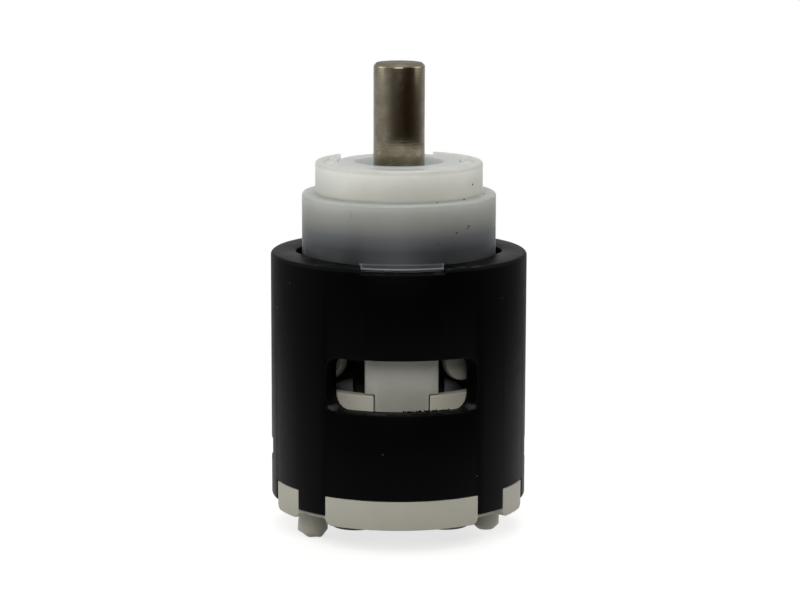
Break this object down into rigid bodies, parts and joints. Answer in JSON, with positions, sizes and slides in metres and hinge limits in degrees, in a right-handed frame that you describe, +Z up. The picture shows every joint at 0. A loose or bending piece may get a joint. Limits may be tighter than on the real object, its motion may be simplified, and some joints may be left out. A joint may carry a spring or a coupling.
{
  "type": "faucet cartridge",
  "caption": "Round ceramic-disc mixing cartridge with a tilting metal stem, stepped translucent collar, windowed black housing and keyed cream base.",
  "frame": {"origin": "centre of the base's lower face, where the cartridge stands on the faucet body", "axes": "+Z up along the closed stem; -Y towards the front window and the two inlet ports; +X to the right seen from the front"},
  "size_m": [0.025, 0.025, 0.046],
  "materials": {
    "housing_black": "matt glass-filled moulding",
    "collar_white": "translucent acetal",
    "inner_white": "satin acetal",
    "inner_grey": "satin moulding",
    "base_cream": "satin moulding",
    "stem_metal": "turned nickel-plated brass",
    "spring_steel": "bright",
    "ceramic": "lapped alumina",
    "seal_rubber": "matt"
  },
  "bodies": {
    "root": {"housing": "housing_black", "collar": "collar_white", "ball_seat": "inner_white", "wave_washer": "spring_steel", "retaining_ring": "spring_steel", "fixed_disc": "ceramic", "hot_inner_seal": "seal_rubber", "cold_inner_seal": "seal_rubber", "outlet_inner_seal": "seal_rubber", "base": "base_cream", "hot_bottom_seal": "seal_rubber", "cold_bottom_seal": "seal_rubber", "outlet_bottom_seal": "seal_rubber"},
    "swivel": {"swivel_ball": "inner_white", "cross_pin": "spring_steel"},
    "lever": {"stem": "stem_metal"},
    "guide": {"guide_ring": "inner_grey"},
    "carrier": {"disc_carrier": "inner_grey", "silencer_screen": "inner_white", "mixing_seal": "seal_rubber", "moving_disc": "ceramic"}
  },
  "joints": [
    {"name": "mix_swing", "type": "hinge", "parent": "root", "child": "swivel", "pos_m": [0, 0, 0.031], "axis": [0, 1, 0], "range_deg": [-11, 11]},
    {"name": "flow_lean", "type": "hinge", "parent": "swivel", "child": "lever", "pos_m": [0, 0, 0.031], "axis": [-1, 0, 0], "range_deg": [0, 13]},
    {"name": "guide_slide", "type": "slide", "parent": "root", "child": "guide", "axis": [0, -1, 0], "range_m": [0, 0.00238]},
    {"name": "carrier_slide", "type": "slide", "parent": "guide", "child": "carrier", "axis": [-1, 0, 0], "range_m": [-0.00201, 0.00201]}
  ],
  "couplings": [
    {"joint": "flow_lean", "follows": "guide_slide", "rad_per_m": 95.238},
    {"joint": "mix_swing", "follows": "carrier_slide", "rad_per_m": 95.238}
  ]
}
